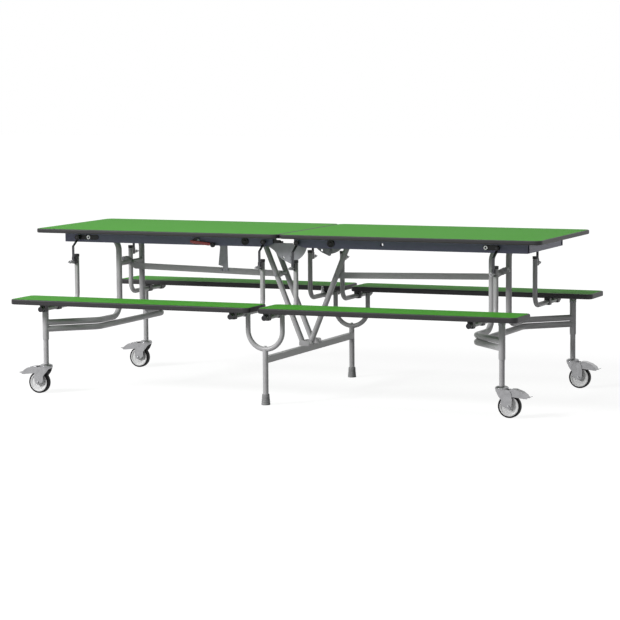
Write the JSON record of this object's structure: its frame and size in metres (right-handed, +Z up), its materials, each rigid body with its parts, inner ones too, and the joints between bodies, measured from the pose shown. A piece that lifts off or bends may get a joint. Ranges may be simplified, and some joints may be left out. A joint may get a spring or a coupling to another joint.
{
  "type": "folding cafeteria table with benches",
  "caption": "Folding cafeteria table in two halves with attached benches on a grey tube frame, swivel castors, centre feet and a centre fold.",
  "frame": {"origin": "centre of the floor rectangle under the open table", "axes": "+X along the table, +Y across it towards the back benches, +Z up"},
  "size_m": [2.4408, 1.272, 0.738],
  "materials": {
    "laminate": "satin laminate",
    "edge_band": "fine matt",
    "rail_paint": "satin powder coat",
    "frame_paint": "satin powder coat",
    "zinc": "zinc plated",
    "black_fittings": "matt",
    "foot_rubber": "matt",
    "castor_steel": "bright zinc",
    "hub_plastic": "satin",
    "tyre": "matt",
    "red_grip": "smooth"
  },
  "bodies": {
    "end_frame_left": {"end_frame_left": "frame_paint", "end_pipes_left": "frame_paint"},
    "table_half_left": {"top_board_left": "laminate", "top_edge_left": "edge_band", "underframe_left": "rail_paint", "hinge_plates_left": "zinc", "rail_fittings_left": "black_fittings"},
    "table_half_right": {"top_board_right": "laminate", "top_edge_right": "edge_band", "underframe_right": "rail_paint", "hinge_plates_right": "zinc", "rail_fittings_right": "black_fittings"},
    "end_frame_right": {"end_frame_right": "frame_paint", "end_pipes_right": "frame_paint"},
    "centre_hinge": {"centre_hinge_bolts": "zinc"},
    "release_lever": {"release_handle": "red_grip", "latch_hook": "zinc"},
    "centre_frame": {"centre_frame": "frame_paint", "u_tubes": "frame_paint", "centre_pads": "foot_rubber"},
    "arms_left": {"arms_left": "frame_paint"},
    "arm_right": {"arm_right": "frame_paint"},
    "stretcher_left": {"stretcher_left": "frame_paint"},
    "stretcher_right": {"stretcher_right": "frame_paint"},
    "bench_front_left": {"bench_board_front_left": "laminate", "bench_edge_front_left": "edge_band", "bench_brackets_front_left": "black_fittings"},
    "hanger_front_left_outer": {"hanger_front_left_outer": "frame_paint"},
    "hanger_front_left_inner": {"hanger_front_left_inner": "frame_paint"},
    "castor_front_left": {"castor_fork_front_left": "castor_steel"},
    "wheel_front_left": {"castor_wheel_front_left": "hub_plastic", "castor_tyre_front_left": "tyre"},
    "pedal_front_left": {"brake_pedal_front_left": "castor_steel"},
    "bench_front_right": {"bench_board_front_right": "laminate", "bench_edge_front_right": "edge_band", "bench_brackets_front_right": "black_fittings"},
    "hanger_front_right_outer": {"hanger_front_right_outer": "frame_paint"},
    "hanger_front_right_inner": {"hanger_front_right_inner": "frame_paint"},
    "castor_front_right": {"castor_fork_front_right": "castor_steel"},
    "wheel_front_right": {"castor_wheel_front_right": "hub_plastic", "castor_tyre_front_right": "tyre"},
    "pedal_front_right": {"brake_pedal_front_right": "castor_steel"},
    "bench_back_left": {"bench_board_back_left": "laminate", "bench_edge_back_left": "edge_band", "bench_brackets_back_left": "black_fittings"},
    "hanger_back_left_outer": {"hanger_back_left_outer": "frame_paint"},
    "hanger_back_left_inner": {"hanger_back_left_inner": "frame_paint"},
    "castor_back_left": {"castor_fork_back_left": "castor_steel"},
    "wheel_back_left": {"castor_wheel_back_left": "hub_plastic", "castor_tyre_back_left": "tyre"},
    "pedal_back_left": {"brake_pedal_back_left": "castor_steel"},
    "bench_back_right": {"bench_board_back_right": "laminate", "bench_edge_back_right": "edge_band", "bench_brackets_back_right": "black_fittings"},
    "hanger_back_right_outer": {"hanger_back_right_outer": "frame_paint"},
    "hanger_back_right_inner": {"hanger_back_right_inner": "frame_paint"},
    "castor_back_right": {"castor_fork_back_right": "castor_steel"},
    "wheel_back_right": {"castor_wheel_back_right": "hub_plastic", "castor_tyre_back_right": "tyre"},
    "pedal_back_right": {"brake_pedal_back_right": "castor_steel"}
  },
  "joints": [
    {"name": "fold", "type": "hinge", "parent": "end_frame_left", "child": "table_half_left", "pos_m": [-1.0904, 0, 0.695], "axis": [0, -1, 0], "range_deg": [0, 75]},
    {"name": "centre_hinge_turn", "type": "hinge", "parent": "table_half_left", "child": "centre_hinge", "pos_m": [0, 0, 0.624], "axis": [0, 1, 0], "range_deg": [0, 75]},
    {"name": "centre_fold", "type": "hinge", "parent": "table_half_left", "child": "table_half_right", "pos_m": [0, 0, 0.624], "axis": [0, 1, 0], "range_deg": [0, 150]},
    {"name": "right_end_fold", "type": "hinge", "parent": "table_half_right", "child": "end_frame_right", "pos_m": [1.0904, 0, 0.695], "axis": [0, -1, 0], "range_deg": [0, 75]},
    {"name": "centre_lift", "type": "slide", "parent": "centre_hinge", "child": "centre_frame", "axis": [0, 0, -1], "range_m": [0, 0.2824]},
    {"name": "arms_left_swing", "type": "hinge", "parent": "table_half_left", "child": "arms_left", "pos_m": [-0.208, 0, 0.695], "axis": [0, 1, 0], "range_deg": [0, 85.6]},
    {"name": "arm_right_swing", "type": "hinge", "parent": "table_half_right", "child": "arm_right", "pos_m": [0.208, 0, 0.695], "axis": [0, -1, 0], "range_deg": [0, 85.6]},
    {"name": "stretcher_left_swing", "type": "hinge", "parent": "end_frame_left", "child": "stretcher_left", "pos_m": [-0.94, 0, 0.58098], "axis": [0, -1, 0], "range_deg": [0, 85.8]},
    {"name": "stretcher_right_swing", "type": "hinge", "parent": "end_frame_right", "child": "stretcher_right", "pos_m": [0.94, 0, 0.58098], "axis": [0, 1, 0], "range_deg": [0, 85.8]},
    {"name": "bench_front_left_fold", "type": "hinge", "parent": "end_frame_left", "child": "bench_front_left", "pos_m": [-1.0904, -0.5007, 0.395], "axis": [0, -1, 0], "range_deg": [0, 75]},
    {"name": "hanger_front_left_outer_swing", "type": "hinge", "parent": "table_half_left", "child": "hanger_front_left_outer", "pos_m": [-1.05, -0.26, 0.695], "axis": [0, 1, 0], "range_deg": [0, 75]},
    {"name": "hanger_front_left_inner_swing", "type": "hinge", "parent": "table_half_left", "child": "hanger_front_left_inner", "pos_m": [-0.114, -0.26, 0.695], "axis": [0, 1, 0], "range_deg": [0, 75]},
    {"name": "castor_front_left_swivel", "type": "hinge", "parent": "end_frame_left", "child": "castor_front_left", "pos_m": [-1.0904, -0.5007, 0.134], "axis": [0, 0, 1], "continuous": true},
    {"name": "wheel_front_left_spin", "type": "hinge", "parent": "castor_front_left", "child": "wheel_front_left", "pos_m": [-1.1254, -0.5007, 0.05], "axis": [0, 1, 0], "continuous": true},
    {"name": "brake_front_left_press", "type": "hinge", "parent": "castor_front_left", "child": "pedal_front_left", "pos_m": [-1.1264, -0.5007, 0.111], "axis": [0, -1, 0], "range_deg": [0, 12]},
    {"name": "bench_front_right_fold", "type": "hinge", "parent": "end_frame_right", "child": "bench_front_right", "pos_m": [1.0904, -0.5007, 0.395], "axis": [0, 1, 0], "range_deg": [0, 75]},
    {"name": "hanger_front_right_outer_swing", "type": "hinge", "parent": "table_half_right", "child": "hanger_front_right_outer", "pos_m": [0.984, -0.26, 0.695], "axis": [0, -1, 0], "range_deg": [0, 75]},
    {"name": "hanger_front_right_inner_swing", "type": "hinge", "parent": "table_half_right", "child": "hanger_front_right_inner", "pos_m": [0.048, -0.26, 0.695], "axis": [0, -1, 0], "range_deg": [0, 75]},
    {"name": "castor_front_right_swivel", "type": "hinge", "parent": "end_frame_right", "child": "castor_front_right", "pos_m": [1.0904, -0.5007, 0.134], "axis": [0, 0, 1], "continuous": true},
    {"name": "wheel_front_right_spin", "type": "hinge", "parent": "castor_front_right", "child": "wheel_front_right", "pos_m": [1.1254, -0.5007, 0.05], "axis": [0, 1, 0], "continuous": true},
    {"name": "brake_front_right_press", "type": "hinge", "parent": "castor_front_right", "child": "pedal_front_right", "pos_m": [1.1264, -0.5007, 0.111], "axis": [0, 1, 0], "range_deg": [0, 12]},
    {"name": "bench_back_left_fold", "type": "hinge", "parent": "end_frame_left", "child": "bench_back_left", "pos_m": [-1.0904, 0.5007, 0.395], "axis": [0, -1, 0], "range_deg": [0, 75]},
    {"name": "hanger_back_left_outer_swing", "type": "hinge", "parent": "table_half_left", "child": "hanger_back_left_outer", "pos_m": [-1.05, 0.26, 0.695], "axis": [0, 1, 0], "range_deg": [0, 75]},
    {"name": "hanger_back_left_inner_swing", "type": "hinge", "parent": "table_half_left", "child": "hanger_back_left_inner", "pos_m": [-0.114, 0.26, 0.695], "axis": [0, 1, 0], "range_deg": [0, 75]},
    {"name": "castor_back_left_swivel", "type": "hinge", "parent": "end_frame_left", "child": "castor_back_left", "pos_m": [-1.0904, 0.5007, 0.134], "axis": [0, 0, 1], "continuous": true},
    {"name": "wheel_back_left_spin", "type": "hinge", "parent": "castor_back_left", "child": "wheel_back_left", "pos_m": [-1.1254, 0.5007, 0.05], "axis": [0, 1, 0], "continuous": true},
    {"name": "brake_back_left_press", "type": "hinge", "parent": "castor_back_left", "child": "pedal_back_left", "pos_m": [-1.1264, 0.5007, 0.111], "axis": [0, -1, 0], "range_deg": [0, 12]},
    {"name": "bench_back_right_fold", "type": "hinge", "parent": "end_frame_right", "child": "bench_back_right", "pos_m": [1.0904, 0.5007, 0.395], "axis": [0, 1, 0], "range_deg": [0, 75]},
    {"name": "hanger_back_right_outer_swing", "type": "hinge", "parent": "table_half_right", "child": "hanger_back_right_outer", "pos_m": [0.984, 0.26, 0.695], "axis": [0, -1, 0], "range_deg": [0, 75]},
    {"name": "hanger_back_right_inner_swing", "type": "hinge", "parent": "table_half_right", "child": "hanger_back_right_inner", "pos_m": [0.048, 0.26, 0.695], "axis": [0, -1, 0], "range_deg": [0, 75]},
    {"name": "castor_back_right_swivel", "type": "hinge", "parent": "end_frame_right", "child": "castor_back_right", "pos_m": [1.0904, 0.5007, 0.134], "axis": [0, 0, 1], "continuous": true},
    {"name": "wheel_back_right_spin", "type": "hinge", "parent": "castor_back_right", "child": "wheel_back_right", "pos_m": [1.1254, 0.5007, 0.05], "axis": [0, 1, 0], "continuous": true},
    {"name": "brake_back_right_press", "type": "hinge", "parent": "castor_back_right", "child": "pedal_back_right", "pos_m": [1.1264, 0.5007, 0.111], "axis": [0, 1, 0], "range_deg": [0, 12]},
    {"name": "release_lever_lift", "type": "hinge", "parent": "table_half_left", "child": "release_lever", "pos_m": [-0.437, -0.252, 0.695], "axis": [0, -1, 0], "range_deg": [0, 12]}
  ],
  "couplings": [
    {"joint": "centre_hinge_turn", "follows": "fold", "ratio": 1},
    {"joint": "centre_fold", "follows": "fold", "ratio": 2},
    {"joint": "right_end_fold", "follows": "fold", "ratio": 1},
    {"joint": "centre_lift", "follows": "fold", "m_per_rad": 0.21418},
    {"joint": "arms_left_swing", "follows": "fold", "ratio": 1.1352},
    {"joint": "arm_right_swing", "follows": "fold", "ratio": 1.1352},
    {"joint": "stretcher_left_swing", "follows": "fold", "ratio": 1.1368},
    {"joint": "stretcher_right_swing", "follows": "fold", "ratio": 1.1368},
    {"joint": "bench_front_left_fold", "follows": "fold", "ratio": 1},
    {"joint": "hanger_front_left_outer_swing", "follows": "fold", "ratio": 1},
    {"joint": "hanger_front_left_inner_swing", "follows": "fold", "ratio": 1},
    {"joint": "bench_front_right_fold", "follows": "fold", "ratio": 1},
    {"joint": "hanger_front_right_outer_swing", "follows": "fold", "ratio": 1},
    {"joint": "hanger_front_right_inner_swing", "follows": "fold", "ratio": 1},
    {"joint": "bench_back_left_fold", "follows": "fold", "ratio": 1},
    {"joint": "hanger_back_left_outer_swing", "follows": "fold", "ratio": 1},
    {"joint": "hanger_back_left_inner_swing", "follows": "fold", "ratio": 1},
    {"joint": "bench_back_right_fold", "follows": "fold", "ratio": 1},
    {"joint": "hanger_back_right_outer_swing", "follows": "fold", "ratio": 1},
    {"joint": "hanger_back_right_inner_swing", "follows": "fold", "ratio": 1}
  ]
}
